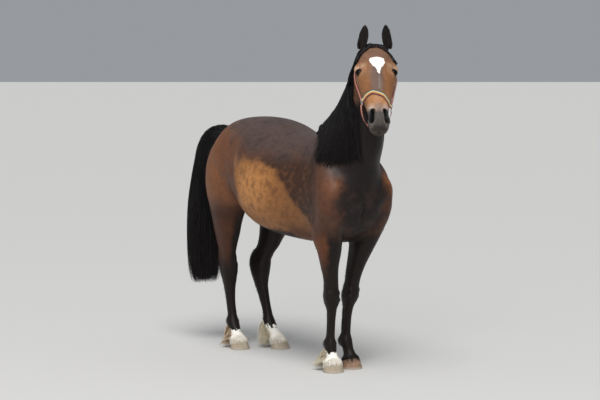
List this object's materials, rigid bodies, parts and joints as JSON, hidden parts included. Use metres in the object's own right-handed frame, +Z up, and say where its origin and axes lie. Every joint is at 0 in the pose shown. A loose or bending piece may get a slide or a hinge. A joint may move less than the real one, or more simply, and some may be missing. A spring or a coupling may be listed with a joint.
{
  "type": "horse",
  "caption": "Bay pony of cob type standing with its head up and turned, with long black mane and tail, white socks and a striped head collar.",
  "frame": {"origin": "on the ground, under the middle of the pony's outline seen from above", "axes": "+Z up, the pony faces -Y, +X is its left side"},
  "size_m": [0.5636, 2.013, 1.8419],
  "materials": {
    "bay_coat": "short sleek hair, dark brown to golden brown",
    "black_points": "short sleek black hair",
    "hoof_horn": "dusty horn",
    "eye": "wet, glossy",
    "black_hair": "long black hair",
    "pale_hair": "long cream hair",
    "noseband_webbing": "striped woven webbing",
    "strap_webbing": "woven webbing",
    "ring_metal": "plated steel"
  },
  "bodies": {
    "root": {"cheek_strap_left": "strap_webbing", "cheek_strap_right": "strap_webbing", "chin_strap": "strap_webbing", "crown_strap": "strap_webbing", "ear_left": "black_points", "ear_right": "black_points", "eye_left": "eye", "eye_right": "eye", "feather_fore_right": "pale_hair", "feather_hind_left": "pale_hair", "feather_hind_right": "pale_hair", "forehoof_left": "hoof_horn", "forehoof_right": "hoof_horn", "foreleg_left": "black_points", "foreleg_right": "black_points", "forelock": "black_hair", "head": "bay_coat", "hindhoof_left": "hoof_horn", "hindhoof_right": "hoof_horn", "hindleg_left": "black_points", "hindleg_right": "black_points", "mane": "black_hair", "neck": "black_points", "noseband": "noseband_webbing", "ring_left": "ring_metal", "ring_right": "ring_metal", "tail": "black_hair", "throat_strap": "strap_webbing", "trunk": "bay_coat"}
  },
  "joints": []
}
